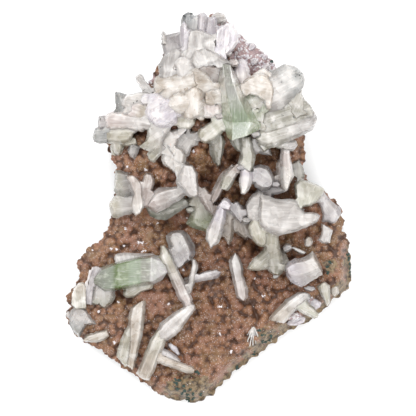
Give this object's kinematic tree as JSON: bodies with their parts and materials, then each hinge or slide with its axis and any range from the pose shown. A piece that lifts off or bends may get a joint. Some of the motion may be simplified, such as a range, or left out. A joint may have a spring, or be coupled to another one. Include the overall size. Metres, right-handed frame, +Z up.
{
  "type": "apophyllite cluster",
  "caption": "Loose piece of basalt with a lumpy brown chalcedony crust, green apophyllite prisms and white to cream stilbite blades and fans; it rests on its flat back.",
  "frame": {"origin": "under the middle of the piece, on the surface that it rests on", "axes": "+Z up, away from the flat back; +Y along the piece, towards the end where the crystals crowd together"},
  "size_m": [0.1149, 0.1566, 0.0543],
  "materials": {
    "matrix": "lumpy, sparkling",
    "green_apophyllite": "clear, glossy",
    "white_stilbite": "pearly",
    "cream_stilbite": "pearly",
    "lilac_stilbite": "pearly",
    "grey_stilbite": "glassy"
  },
  "bodies": {
    "root": {"matrix": "matrix", "upper_green_apophyllite": "green_apophyllite", "lower_green_apophyllite": "green_apophyllite", "curved_stilbite_fan": "white_stilbite", "middle_stilbite_cluster": "white_stilbite", "left_edge_crystals": "white_stilbite", "central_blades": "white_stilbite", "white_bow_tie": "white_stilbite", "long_white_blade": "white_stilbite", "right_edge_crystals": "white_stilbite", "small_stub_crystal": "white_stilbite", "thin_sliver_crystal": "white_stilbite", "white_stub_crystal": "white_stilbite", "upper_stilbite_cluster": "cream_stilbite", "right_stilbite_fans": "cream_stilbite", "cream_green_lobe": "cream_stilbite", "zigzag_blades": "cream_stilbite", "isolated_blade": "cream_stilbite", "long_blade_pair": "cream_stilbite", "striated_sheaf": "cream_stilbite", "edge_blade": "cream_stilbite", "long_left_blade": "lilac_stilbite", "white_block_crystal": "lilac_stilbite", "lilac_stub_crystal": "lilac_stilbite", "pale_lilac_blade": "lilac_stilbite", "pearly_side_crystals": "lilac_stilbite", "left_stilbite_cluster": "grey_stilbite", "small_grey_blade": "grey_stilbite", "grey_finger_blade": "grey_stilbite", "corner_crystals": "grey_stilbite", "small_corner_blade": "grey_stilbite", "clear_grey_crystal": "grey_stilbite", "crystal_behind_prism": "grey_stilbite", "crystal_below_prism": "grey_stilbite"}
  },
  "joints": []
}
